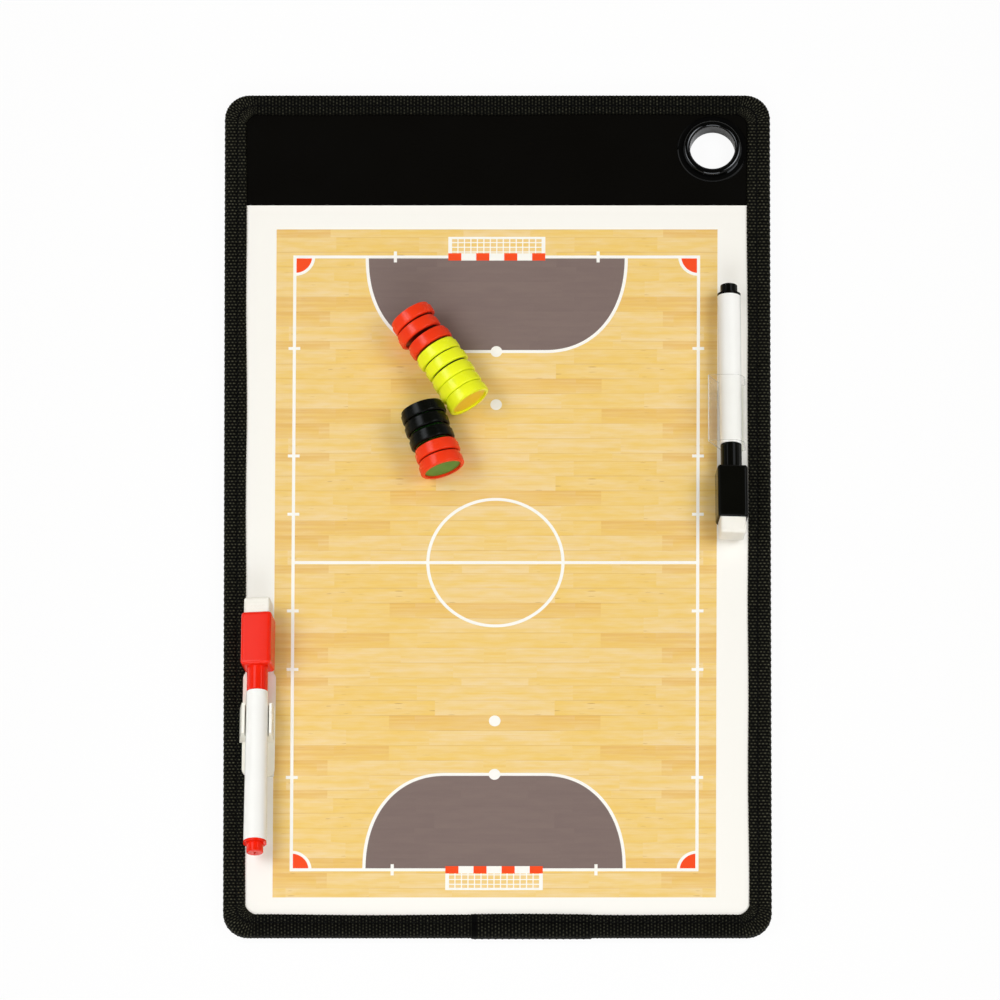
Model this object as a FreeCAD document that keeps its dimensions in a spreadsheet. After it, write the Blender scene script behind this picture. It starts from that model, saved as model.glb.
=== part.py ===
"""Magnetic futsal tactics board with two clip-held markers and thirteen player pucks.

Frame: X to the right, Y up the board towards the header, Z out of the printed face.
The origin is at the middle of the back, on the surface that the board lies on.
"""
import FreeCAD, Part

import math
import os
import re

import Sketcher

# Driving dimensions: millimetres and degrees, with what each one measures.
SIZES = {
    "board_width": (250, "over the binding, side to side"),
    "board_height": (410, "over the binding, top to bottom"),
    "corner_radius": (11, "outer corner of the bound board"),
    "seat_gap": (0.1, "play of a sheet or barrel in its seat"),
    "back_thickness": (0.5, "vinyl back sheet"),
    "core_thickness": (3.0, "hardboard core"),
    "steel_thickness": (0.5, "steel sheet that the magnets grip"),
    "face_thickness": (0.5, "printed dry-wipe face"),
    "tape_thickness": (1.1, "binding webbing"),
    "tape_lip": (9.6, "binding seen on the face, from the outer edge"),
    "fold_radius": (2.0, "round of the webbing over the edge"),
    "window_radius": (2.5, "inner corner of the binding"),
    "lap_length": (26, "stretch where the webbing's ends overlap"),
    "lap_offset": (11.5, "lapped end, left of the middle"),
    "lap_step": (0.45, "height of the overlap"),
    "bore_radius": (10.3, "hole through the eyelet"),
    "eyelet_wall": (1.2, "wall of the eyelet's barrel"),
    "ring_width": (3.1, "raised ring round the hole"),
    "ring_height": (3.4, "raised ring above the face"),
    "ring_round": (1.4, "round of the raised ring, outside and inside"),
    "flange_width": (2.6, "flat flange outside the raised ring"),
    "flange_edge": (0.8, "thickness of the flange"),
    "flange_bevel": (0.4, "bevel round the flange"),
    "eyelet_margin": (0.5, "flange to binding"),
    "washer_width": (3.4, "rear washer beyond the barrel"),
    "washer_relief": (0.15, "rear washer above the resting surface"),
    "barrel_rear": (10.7, "diameter of a marker's barrel at its rear end"),
    "barrel_front": (9.9, "diameter of a marker's barrel at the cap"),
    "barrel_length": (72.5, "barrel between plug and cap"),
    "barrel_wall": (0.95, "wall of the barrel at the cap end"),
    "pen_fit": (0.05, "radial fit of plugs and holders"),
    "plug_flange": (1.2, "thickness of the end plug's flange"),
    "knob_diameter": (7.8, "end plug's knob"),
    "knob_length": (4.4, "end plug's knob beyond the flange"),
    "knob_round": (0.5, "round of the knob's end"),
    "dimple_diameter": (1.6, "vent hole in the end plug"),
    "dimple_depth": (2.0, "depth of the vent hole"),
    "plug_depth": (6.0, "plug inside the barrel"),
    "reservoir_gap": (0.4, "ink reservoir to barrel"),
    "reservoir_play": (0.3, "end play of the reservoir"),
    "grip_diameter": (7.6, "front section that the cap grips"),
    "grip_length": (13.0, "front section beyond the barrel"),
    "holder_depth": (8.0, "front section inside the barrel"),
    "cone_length": (6.0, "taper in front of the grip"),
    "cone_tip": (4.0, "diameter at the front of the taper"),
    "nib_diameter": (2.6, "felt nib"),
    "nib_reach": (3.5, "nib beyond the taper"),
    "nib_point": (1.2, "diameter of the nib's worn point"),
    "cap_gap": (0.2, "cap to barrel"),
    "cap_fit": (0.05, "radial fit of the cap on the front section"),
    "cap_room": (1.5, "free depth in front of the nib"),
    "collar_wall": (1.0, "wall of the cap's round collar"),
    "collar_length": (11.5, "round collar of the cap"),
    "box_side": (3.15, "cap box beside the bore"),
    "box_floor": (2.9, "cap box over and under the bore"),
    "box_length": (25.5, "square box of the cap"),
    "box_round": (1.6, "rounded edges of the box"),
    "magnet_width": (9.0, "cap magnet across"),
    "magnet_length": (16.0, "cap magnet along the pen"),
    "magnet_thickness": (1.8, "cap magnet"),
    "magnet_fit": (0.05, "cap magnet in its pocket"),
    "eraser_wall": (0.9, "rim round the eraser's seat"),
    "eraser_seat": (3.0, "depth of the eraser's seat"),
    "eraser_reach": (7.5, "felt beyond the box"),
    "eraser_fit": (0.05, "felt in its seat"),
    "eraser_round": (1.2, "rounded edges of the felt"),
    "cap_clear": (0.5, "cap above what it passes over"),
    "red_inset": (15.35, "red pen's axis from the left edge, at its clip"),
    "red_rise": (41.8, "red barrel's rear end above the lower edge"),
    "red_roll": (9.5, "red pen turned about its own axis, its right side up"),
    "red_turn": (0.75, "red pen and its clip, leaning to the right"),
    "black_margin": (1.0, "black cap's middle to the binding"),
    "black_drop": (101.9, "black barrel's rear end below the upper edge"),
    "black_roll": (6.0, "black pen turned about its own axis, its left side up"),
    "black_turn": (0.65, "black pen, its cap end leaning to the right"),
    "plate_width": (15.0, "clip's base plate across"),
    "plate_length": (51.0, "clip's base plate along the pen"),
    "plate_thickness": (1.3, "clip's base plate"),
    "plate_round": (3.5, "corners of the base plate"),
    "plate_shift": (0.85, "base plate's middle, right of the jaws"),
    "plate_lift": (0.15, "base plate above the binding"),
    "plate_under": (1.6, "base plate under the cap's box"),
    "foam_inset": (0.5, "foam tape inside its plate and the binding"),
    "saddle_floor": (0.3, "least saddle under the pen"),
    "jaw_length": (16.6, "clip's jaws along the pen"),
    "jaw_drop": (0.9, "jaws' middle below the plate's middle"),
    "jaw_wall": (2.3, "clip's jaws beside the bore, at their root"),
    "jaw_draft": (5.0, "slope of the jaws' outer sides"),
    "jaw_rise": (1.6, "jaws above the pen's axis"),
    "jaw_round": (0.6, "rounded tips of the jaws"),
    "clip_gap": (0.25, "pen in the clip"),
    "loop_wall": (0.8, "clear vinyl of the loop"),
    "loop_gap": (0.3, "pen in the loop"),
    "loop_length": (32.0, "loop along the pen"),
    "loop_clear": (0.3, "loop to the cap"),
    "loop_tape": (0.3, "adhesive under the loop"),
    "loop_headroom": (0.2, "loop above the pen, beside the gap"),
    "foot_spread": (0.7, "loop's right foot beyond its side"),
    "under_reach": (2.4, "loop's left foot under the pen"),
    "fold_reach": (4.6, "loop's fold beyond the pen"),
    "fold_drop": (0.8, "loop's fold below its top"),
    "loop_round": (1.3, "bends of the loop"),
    "puck_radius": (10.4, "puck's front half"),
    "puck_thickness": (5.7, "puck from face to face"),
    "back_inset": (0.6, "step in from the front half to the back rim"),
    "back_rim": (2.0, "height of the stepped back rim"),
    "label_rim": (1.7, "rim round the label's seat"),
    "label_depth": (0.9, "depth of the label's seat"),
    "cup_radius": (7.55, "magnet's seat in the back"),
    "cup_depth": (3.2, "depth of the magnet's seat"),
    "disc_fit": (0.1, "radial fit of the magnet in its seat"),
    "disc_thickness": (2.5, "puck's magnet"),
    "front_round": (0.8, "rounded front rim of a puck"),
    "back_round": (0.4, "rounded back rim of a puck"),
    "puck_rest": (0.15, "puck above the face"),
    "upper_end_across": (-12.4, "upper row's end, X"),
    "upper_end_along": (51.05, "upper row's end, Y"),
    "upper_angle": (-57.4, "upper row's direction"),
    "lower_angle": (-72.0, "lower row's direction"),
    "touch_back": (7.2, "lower row's corner, back from the upper row's end"),
    "row_gap": (0.3, "lower row to upper row"),
}

# Sizes worked out from the driving dimensions.
DERIVED = {
    "half_width": "board_width / 2",
    "half_height": "board_height / 2",
    "panel_width": "board_width - 2 * (tape_thickness + seat_gap)",
    "panel_height": "board_height - 2 * (tape_thickness + seat_gap)",
    "panel_round": "corner_radius - tape_thickness - seat_gap",
    "core_base": "tape_thickness + back_thickness",
    "steel_base": "core_base + core_thickness",
    "face_base": "steel_base + steel_thickness",
    "face_top": "face_base + face_thickness",
    "lip_top": "face_top + tape_thickness",
    "window_half_width": "half_width - tape_lip",
    "window_half_height": "half_height - tape_lip",
    "eyelet_barrel": "bore_radius + eyelet_wall",
    "ring_radius": "bore_radius + ring_width",
    "flange_radius": "ring_radius + flange_width",
    "eyelet_across": "window_half_width - eyelet_margin - flange_radius",
    "eyelet_along": "window_half_height - eyelet_margin - flange_radius",
    "washer_radius": "eyelet_barrel + washer_width",
    "rear_radius": "barrel_rear / 2",
    "bore_of_barrel": "barrel_front / 2 - barrel_wall",
    "holder_back": "barrel_length - holder_depth",
    "grip_end": "barrel_length + grip_length",
    "cone_end": "grip_end + cone_length",
    "nib_end": "cone_end + nib_reach",
    "cap_base": "barrel_length + cap_gap",
    "box_base": "cap_base + collar_length",
    "box_end": "box_base + box_length",
    "cap_bore": "grip_diameter / 2 + cap_fit",
    "cap_bore_end": "nib_end + cap_room",
    "box_half_width": "cap_bore + box_side",
    "box_half_height": "cap_bore + box_floor",
    "magnet_base": "box_end - eraser_seat - magnet_length - box_side",
    "felt_half_width": "box_half_width - eraser_wall",
    "felt_half_height": "box_half_height - eraser_wall",
    "foam_thickness": "tape_thickness + plate_lift",
    "plate_top": "face_top + foam_thickness + plate_thickness",
    "clip_bore": "rear_radius + clip_gap",
    "red_across": "red_inset - half_width",
    "red_along": "red_rise - half_height",
    "red_box_low": "box_half_height * cos(red_roll) + box_half_width * sin(red_roll)",
    "red_axis": "plate_top + max(cap_clear + red_box_low; saddle_floor + clip_bore)",
    "plate_end": "red_along + box_base + plate_under",
    "plate_middle": "plate_end - plate_length / 2",
    "red_rear": "red_across - (plate_middle - red_along) * tan(red_turn)",
    "black_across": "window_half_width - black_margin - box_half_width",
    "black_along": "half_height - black_drop",
    "cap_middle": "box_base + box_length / 2",
    "black_rear": "black_across - cap_middle * tan(black_turn)",
    "loop_across": "black_rear + (barrel_length - loop_clear - loop_length / 2) * tan(black_turn)",
    "loop_reach": "rear_radius + loop_gap + loop_wall",
    "loop_base": "face_top + loop_tape",
    "black_box_low": "box_half_height * cos(black_roll) + box_half_width * sin(black_roll)",
    "black_axis": "max(lip_top + cap_clear + black_box_low; loop_base + loop_reach)",
    "loop_top": "black_axis + loop_reach + loop_headroom",
    "loop_front": "black_along - barrel_length + loop_clear",
    "puck_axis": "face_top + puck_rest + puck_radius",
    "corner_across": "upper_end_across - touch_back * cos(upper_angle)"
                     " + (puck_radius + row_gap) * sin(upper_angle)",
    "corner_along": "upper_end_along - touch_back * sin(upper_angle)"
                    " - (puck_radius + row_gap) * cos(upper_angle)",
    "lower_start_across": "corner_across + (puck_radius - back_inset) * sin(lower_angle)",
    "lower_start_along": "corner_along - (puck_radius - back_inset) * cos(lower_angle)",
}

# Upper row, from the end that faces the lower right: name, gap to the one ahead and sideways shift.
UPPER_ROW = [
    ("yellow_puck_5", 0.0, 0.0),
    ("yellow_puck_4", 0.2, 0.0),
    ("yellow_puck_3", 0.2, 0.3),
    ("yellow_puck_2", 0.9, 0.7),
    ("yellow_puck_1", 0.6, 0.4),
    ("red_puck_3", 1.0, 0.2),
    ("red_puck_2", 1.7, -1.2),
    ("red_puck_1", 0.9, -0.2),
]

# Lower row, from the end against the upper row: name, gap to the one behind and sideways shift.
LOWER_ROW = [
    ("black_puck_1", 0.0, 0.0),
    ("black_puck_2", 0.5, -0.3),
    ("black_puck_3", 1.0, -0.2),
    ("red_puck_4", 1.2, 0.3),
    ("red_puck_5", 0.7, 0.1),
]

doc = FreeCAD.newDocument("tactics_board")
sheet = doc.addObject("Spreadsheet::Sheet", "sizes")
for row, (alias, (value, note)) in enumerate(SIZES.items(), 1):
    sheet.set(f"A{row}", alias)
    sheet.set(f"B{row}", str(value))
    sheet.set(f"C{row}", note)
    sheet.setAlias(f"B{row}", alias)
doc.recompute()


def formula(text):
    """Spell out a size formula, with each name as its cell or as the formula behind it."""

    def spell(match):
        name = match.group()
        if name in DERIVED:
            return f"({formula(DERIVED[name])})"
        return f"sizes.{name}" if name in SIZES else name

    return re.sub(r"[a-z][a-z_0-9]*", spell, text)


def bind(target, setting, text):
    target.setExpression(setting, formula(text))


def body(label):
    made = doc.addObject("PartDesign::Body", label)
    made.Label = label
    return made


def place(target, across="0", along="0", up="0", turn="0", tip="0", roll="0"):
    """Put a piece in the board's frame: turn about Z, tip about Y and roll about X."""
    spot = f"vector({across}; {along}; {up})"
    bind(target, "Placement", f"placement({spot}; rotation({turn}; {tip}; {roll}))")
    doc.recompute()


def sketch(owner, name, plane="XY_Plane", offset="0"):
    """An empty sketch on one of the body's own planes, moved off it along its normal."""
    made = owner.newObject("Sketcher::SketchObject", f"{owner.Name}_{name}")
    origin = {feature.Role: feature for feature in owner.Origin.OriginFeatures}
    made.AttachmentSupport = [(origin[plane], "")]
    made.MapMode = "FlatFace"
    bind(made, "AttachmentOffset.Base.z", offset)
    return made


def polygon(target, corners):
    """Straight-sided outline whose corners are bound to formulas, from the sketch's origin."""
    count = len(corners)
    turns = [2 * math.pi * index / count for index in range(count)]
    start = [FreeCAD.Vector(math.cos(turn), math.sin(turn), 0) for turn in turns]
    first = target.GeometryCount
    for index in range(count):
        target.addGeometry(Part.LineSegment(start[index], start[(index + 1) % count]), False)
    for index in range(count):
        nearer = first + index
        further = first + (index + 1) % count
        target.addConstraint(Sketcher.Constraint("Coincident", nearer, 2, further, 1))
    for index, (across, along) in enumerate(corners):
        for kind, text, value in (("X", across, start[index].x), ("Y", along, start[index].y)):
            rule = Sketcher.Constraint(f"Distance{kind}", -1, 1, first + index, 1, value)
            bind(target, f"Constraints[{target.addConstraint(rule)}]", text)
    return target


def rectangle(target, half_across, half_along):
    signs = ((-1, -1), (1, -1), (1, 1), (-1, 1))
    return polygon(target, [(f"{a} * ({half_across})", f"{b} * ({half_along})") for a, b in signs])


def rounded(target, half_across, half_along, radius):
    """Rectangle about the sketch's origin whose corners are equal tangent quarter circles."""
    line_points = [((-1, -2), (1, -2)), ((2, -1), (2, 1)), ((1, 2), (-1, 2)), ((-2, 1), (-2, -1))]
    corner_centres = [(1, -1), (1, 1), (-1, 1), (-1, -1)]
    for index, (points, centre) in enumerate(zip(line_points, corner_centres)):
        begin, end = (FreeCAD.Vector(*point, 0) for point in points)
        target.addGeometry(Part.LineSegment(begin, end), False)
        bend = Part.Circle(FreeCAD.Vector(*centre, 0), FreeCAD.Vector(0, 0, 1), 1)
        opening = (index - 1) * math.pi / 2
        target.addGeometry(Part.ArcOfCircle(bend, opening, opening + math.pi / 2), False)
    lines = [0, 2, 4, 6]
    bends = [1, 3, 5, 7]
    for index in range(4):
        target.addConstraint(Sketcher.Constraint("Tangent", lines[index], 2, bends[index], 1))
        target.addConstraint(Sketcher.Constraint("Tangent", bends[index], 2, lines[index - 3], 1))
        way = "Vertical" if index % 2 else "Horizontal"
        target.addConstraint(Sketcher.Constraint(way, lines[index]))
    for bend in bends[1:]:
        target.addConstraint(Sketcher.Constraint("Equal", bends[0], bend))
    rule = Sketcher.Constraint("Radius", bends[0], 1)
    bind(target, f"Constraints[{target.addConstraint(rule)}]", radius)
    sides = (("Y", -2, f"-({half_along})"), ("X", 2, half_across),
             ("Y", 2, half_along), ("X", -2, f"-({half_across})"))
    for line, (kind, value, text) in zip(lines, sides):
        rule = Sketcher.Constraint(f"Distance{kind}", -1, 1, line, 1, value)
        bind(target, f"Constraints[{target.addConstraint(rule)}]", text)
    return target


def circle(target, across, along, radius):
    start = FreeCAD.Vector(1, 1, 0)
    ring = target.addGeometry(Part.Circle(start, FreeCAD.Vector(0, 0, 1), 1), False)
    for kind, text in (("X", across), ("Y", along)):
        rule = Sketcher.Constraint(f"Distance{kind}", -1, 1, ring, 3, 1)
        bind(target, f"Constraints[{target.addConstraint(rule)}]", text)
    rule = Sketcher.Constraint("Radius", ring, 1)
    bind(target, f"Constraints[{target.addConstraint(rule)}]", radius)
    return target


def pad(owner, profile, length, back=False):
    made = owner.newObject("PartDesign::Pad", f"{profile.Name}_pad")
    made.Profile = profile
    made.Reversed = back
    bind(made, "Length", length)
    doc.recompute()
    return made


def pocket(owner, profile, depth, back=False, both=False):
    """Cut a sketch's outline to a depth; it has to take something away."""
    before = owner.Shape.Volume
    made = owner.newObject("PartDesign::Pocket", f"{profile.Name}_pocket")
    made.Profile = profile
    made.Reversed = back
    made.SideType = "Symmetric" if both else "One side"
    bind(made, "Length", depth)
    doc.recompute()
    if owner.Shape.Volume >= before:
        raise ValueError(f"{made.Name} cuts nothing")
    return made


def revolve(owner, corners):
    """Turn a profile of radius and height round the body's Z axis."""
    profile = polygon(sketch(owner, "profile", "XZ_Plane"), corners)
    made = owner.newObject("PartDesign::Revolution", f"{owner.Name}_turned")
    made.Profile = profile
    made.ReferenceAxis = (profile, ["V_Axis"])
    doc.recompute()
    return made


def fillet(owner, name, chosen, radius):
    """Round the edges of the body's latest feature that a test picks out."""
    base = owner.Tip
    edges = [f"Edge{number}" for number, edge in enumerate(base.Shape.Edges, 1) if chosen(edge)]
    made = owner.newObject("PartDesign::Fillet", f"{owner.Name}_{name}")
    made.Base = (base, edges)
    bind(made, "Radius", radius)
    doc.recompute()
    return made


def straight_along(edge, direction):
    if edge.Curve.TypeId != "Part::GeomLine":
        return False
    return abs(edge.tangentAt(edge.FirstParameter).dot(direction)) > 0.999


Y_WAY = FreeCAD.Vector(0, 1, 0)
NEAR = 0.01


def level_with(value):
    """Test for edges that lie wholly at one height."""
    return lambda edge: max(abs(edge.BoundBox.ZMin - value), abs(edge.BoundBox.ZMax - value)) < NEAR


def widest_round(owner, height):
    """The largest circle of a turned piece at one height."""
    level = level_with(height)
    radius = max(edge.Curve.Radius for edge in owner.Shape.Edges if round_and(level, edge))
    return lambda edge: round_and(level, edge) and abs(edge.Curve.Radius - radius) < NEAR


def round_and(test, edge):
    return edge.Curve.TypeId == "Part::GeomCircle" and test(edge)


def sheet_layer(label, base, thickness):
    """One rounded sheet of the board, with the eyelet's hole through it."""
    layer = body(label)
    outline = sketch(layer, "outline", offset=base)
    pad(layer, rounded(outline, "panel_width / 2", "panel_height / 2", "panel_round"), thickness)
    hole = circle(sketch(layer, "hole", offset=base), "eyelet_across", "eyelet_along",
                  "eyelet_barrel + seat_gap")
    pocket(layer, hole, thickness, back=True)
    return layer


def edge_binding():
    """Webbing folded over the edge all round and sewn, with its lapped end at the lower edge."""
    tape = body("edge_binding")
    outline = rounded(sketch(tape, "outline"), "half_width", "half_height", "corner_radius")
    pad(tape, outline, "lip_top")
    top, bottom = (level_with(tape.Shape.BoundBox.ZMax), level_with(tape.Shape.BoundBox.ZMin))
    fillet(tape, "folds", lambda edge: top(edge) or bottom(edge), "fold_radius")
    window = rounded(sketch(tape, "window"), "window_half_width", "window_half_height",
                     "window_radius")
    pocket(tape, window, "lip_top", back=True)
    seat = rounded(sketch(tape, "seat", offset="tape_thickness"), "panel_width / 2 + seat_gap",
                   "panel_height / 2 + seat_gap", "panel_round + seat_gap")
    pocket(tape, seat, "face_top - tape_thickness", back=True)

    lap = sketch(tape, "lap", "YZ_Plane", "-lap_offset")
    polygon(lap, [
        ("-window_half_height", "lip_top - tape_thickness / 2"),
        ("-window_half_height", "lip_top + lap_step"),
        ("fold_radius - half_height", "lip_top + lap_step"),
        ("-half_height - lap_step", "lip_top - fold_radius"),
        ("-half_height - lap_step", "fold_radius"),
        ("tape_thickness / 2 - half_height", "fold_radius"),
        ("tape_thickness / 2 - half_height", "lip_top - tape_thickness / 2"),
    ])
    pad(tape, lap, "lap_length")
    return tape


def eyelet():
    """Flanged eyelet, with a raised ring round the hole and a barrel through every sheet."""
    piece = body("eyelet")
    revolve(piece, [
        ("bore_radius", "washer_relief"),
        ("eyelet_barrel", "washer_relief"),
        ("eyelet_barrel", "face_top"),
        ("flange_radius", "face_top"),
        ("flange_radius", "face_top + flange_edge - flange_bevel"),
        ("flange_radius - flange_bevel", "face_top + flange_edge"),
        ("ring_radius", "face_top + flange_edge"),
        ("ring_radius", "face_top + ring_height"),
        ("bore_radius", "face_top + ring_height"),
    ])
    fillet(piece, "crest", level_with(piece.Shape.BoundBox.ZMax), "ring_round")
    place(piece, "eyelet_across", "eyelet_along")

    washer = body("eyelet_washer")
    revolve(washer, [
        ("eyelet_barrel + seat_gap", "washer_relief"),
        ("washer_radius", "washer_relief"),
        ("washer_radius", "tape_thickness"),
        ("eyelet_barrel + seat_gap", "tape_thickness"),
    ])
    place(washer, "eyelet_across", "eyelet_along")
    return [piece, washer]


def pen_clip():
    """Moulded clip: a round-cornered plate on foam tape, with two jaws round the red pen."""
    foam = body("clip_foam_tape")
    left = "foam_inset - window_half_width - red_across - plate_shift"
    right = "plate_width / 2 - foam_inset"
    ends = ("foam_inset - plate_length / 2", "plate_length / 2 - foam_inset")
    outline = sketch(foam, "outline", offset="face_top")
    polygon(outline, [(left, ends[0]), (right, ends[0]), (right, ends[1]), (left, ends[1])])
    pad(foam, outline, "foam_thickness")
    place(foam, "red_across + plate_shift", "plate_middle")

    clip = body("pen_clip")
    plate = rounded(sketch(clip, "plate", offset="face_top + foam_thickness"),
                    "plate_width / 2", "plate_length / 2", "plate_round")
    pad(clip, plate, "plate_thickness")
    half = "(clip_bore + jaw_wall)"
    ends = ("-jaw_length / 2 - jaw_drop", "jaw_length / 2 - jaw_drop")
    jaws = sketch(clip, "jaws", offset="plate_top - plate_thickness / 2")
    sides = (f"-plate_shift - {half}", f"{half} - plate_shift")
    polygon(jaws, [(sides[0], ends[0]), (sides[1], ends[0]), (sides[1], ends[1]), (sides[0], ends[1])])
    block = pad(clip, jaws, "red_axis + jaw_rise - plate_top + plate_thickness / 2")
    bind(block, "TaperAngle", "-jaw_draft")
    doc.recompute()
    bore = circle(sketch(clip, "bore", "XZ_Plane"), "-plate_shift", "red_axis", "clip_bore")
    pocket(clip, bore, "2 * jaw_length", both=True)
    tips = level_with(clip.Shape.BoundBox.ZMax)
    fillet(clip, "tips", lambda edge: tips(edge) and straight_along(edge, Y_WAY), "jaw_round")
    place(clip, "red_across + plate_shift", "plate_middle", turn="-red_turn")
    return [foam, clip]


def pen_loop():
    """Clear vinyl sleeve: flat under the black pen, round over it and folded flat beyond it."""
    tape = body("loop_tape")
    foot = sketch(tape, "outline", offset="face_top")
    left, right = ("under_reach - loop_reach + loop_round", "loop_reach + foot_spread - loop_round")
    polygon(foot, [(left, "0"), (right, "0"), (right, "loop_length"), (left, "loop_length")])
    pad(tape, foot, "loop_tape")
    place(tape, "loop_across", "loop_front")

    loop = body("pen_loop")
    side = sketch(loop, "side", "XZ_Plane")
    polygon(side, [
        ("under_reach - loop_reach", "loop_base"),
        ("loop_reach + foot_spread", "loop_base"),
        ("loop_reach", "loop_top"),
        ("-under_reach / 2", "loop_top"),
        ("-loop_reach - fold_reach", "loop_top - fold_drop"),
    ])
    pad(loop, side, "loop_length", back=True)
    shape = loop.Shape.BoundBox

    def over_pen(edge):
        at = edge.CenterOfMass
        return straight_along(edge, Y_WAY) and at.z > shape.ZMax - NEAR and at.x > 0

    def bend(edge):
        at = edge.CenterOfMass
        low = at.z < shape.ZMin + NEAR
        return straight_along(edge, Y_WAY) and (low or at.x < shape.XMin + NEAR)

    fillet(loop, "over_pen", over_pen, "rear_radius")
    fillet(loop, "bends", bend, "loop_round")
    solid = loop.Tip
    ends = [f"Face{number}" for number, face in enumerate(solid.Shape.Faces, 1)
            if abs(face.normalAt(0, 0).dot(Y_WAY)) > 0.999]
    shell = loop.newObject("PartDesign::Thickness", "pen_loop_shell")
    shell.Base = (solid, ends)
    shell.Reversed = True
    bind(shell, "Value", "loop_wall")
    place(loop, "loop_across", "loop_front")
    return [tape, loop]


def marker(colour, across, along, axis, turn, roll):
    """A whiteboard marker, built along Z from its barrel's rear end, then laid along the board."""
    barrel = body(f"{colour}_pen_barrel")
    revolve(barrel, [
        ("bore_of_barrel", "0"),
        ("rear_radius", "0"),
        ("barrel_front / 2", "barrel_length"),
        ("bore_of_barrel", "barrel_length"),
    ])

    plug = body(f"{colour}_pen_end_plug")
    revolve(plug, [
        ("0", "dimple_depth - plug_flange - knob_length"),
        ("dimple_diameter / 2", "dimple_depth - plug_flange - knob_length"),
        ("dimple_diameter / 2", "-plug_flange - knob_length"),
        ("knob_diameter / 2", "-plug_flange - knob_length"),
        ("knob_diameter / 2", "-plug_flange"),
        ("rear_radius", "-plug_flange"),
        ("rear_radius", "0"),
        ("bore_of_barrel - pen_fit", "0"),
        ("bore_of_barrel - pen_fit", "plug_depth"),
        ("0", "plug_depth"),
    ])
    fillet(plug, "knob", widest_round(plug, plug.Shape.BoundBox.ZMin), "knob_round")

    reservoir = body(f"{colour}_pen_ink_reservoir")
    revolve(reservoir, [
        ("0", "plug_depth + reservoir_play"),
        ("bore_of_barrel - reservoir_gap", "plug_depth + reservoir_play"),
        ("bore_of_barrel - reservoir_gap", "holder_back - reservoir_play"),
        ("0", "holder_back - reservoir_play"),
    ])

    holder = body(f"{colour}_pen_nib_holder")
    revolve(holder, [
        ("nib_diameter / 2 + pen_fit", "holder_back"),
        ("bore_of_barrel - pen_fit", "holder_back"),
        ("bore_of_barrel - pen_fit", "barrel_length"),
        ("grip_diameter / 2", "barrel_length"),
        ("grip_diameter / 2", "grip_end"),
        ("cone_tip / 2", "cone_end"),
        ("nib_diameter / 2 + pen_fit", "cone_end"),
    ])

    nib = body(f"{colour}_pen_nib")
    revolve(nib, [
        ("0", "holder_back"),
        ("nib_diameter / 2", "holder_back"),
        ("nib_diameter / 2", "nib_end - nib_diameter / 2"),
        ("nib_point / 2", "nib_end"),
        ("0", "nib_end"),
    ])

    pieces = [barrel, plug, reservoir, holder, nib, *marker_cap(colour)]
    for piece in pieces:
        place(piece, across, along, axis, turn, tip=f"-{roll}", roll="-90")
    return pieces


def marker_cap(colour):
    """Cap: a round collar running into a square box, with a magnet below and felt on the end."""
    cap = body(f"{colour}_cap_shell")
    box = rectangle(sketch(cap, "box", offset="box_base"), "box_half_width", "box_half_height")
    pad(cap, box, "box_length")
    fillet(cap, "box_edges", lambda edge: True, "box_round")
    collar = circle(sketch(cap, "collar", offset="cap_base"), "0", "0", "cap_bore + collar_wall")
    pad(cap, collar, "collar_length + box_round")
    bore = circle(sketch(cap, "bore", offset="cap_base"), "0", "0", "cap_bore")
    pocket(cap, bore, "cap_bore_end - cap_base", back=True)
    seat = rectangle(sketch(cap, "eraser_seat", offset="box_end"),
                     "felt_half_width", "felt_half_height")
    pocket(cap, seat, "eraser_seat")

    half = "magnet_width / 2"
    lower, upper = ("magnet_base", "magnet_base + magnet_length")
    fit = "magnet_fit"
    slot = sketch(cap, "magnet_slot", "XZ_Plane", "-box_half_height")
    polygon(slot, [
        (f"-{half} - {fit}", f"{lower} - {fit}"),
        (f"{half} + {fit}", f"{lower} - {fit}"),
        (f"{half} + {fit}", f"{upper} + {fit}"),
        (f"-{half} - {fit}", f"{upper} + {fit}"),
    ])
    pocket(cap, slot, f"magnet_thickness + {fit}", back=True)

    magnet = body(f"{colour}_cap_magnet")
    block = sketch(magnet, "outline", "XZ_Plane", "-box_half_height")
    polygon(block, [(f"-{half}", lower), (half, lower), (half, upper), (f"-{half}", upper)])
    pad(magnet, block, "magnet_thickness")

    felt = body(f"{colour}_cap_eraser")
    outline = rectangle(sketch(felt, "outline", offset="box_end - eraser_seat"),
                        "felt_half_width - eraser_fit", "felt_half_height - eraser_fit")
    pad(felt, outline, "eraser_seat + eraser_reach")
    end = felt.Shape.BoundBox.ZMin
    fillet(felt, "edges", lambda edge: not level_with(end)(edge), "eraser_round")
    return [cap, magnet, felt]


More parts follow.
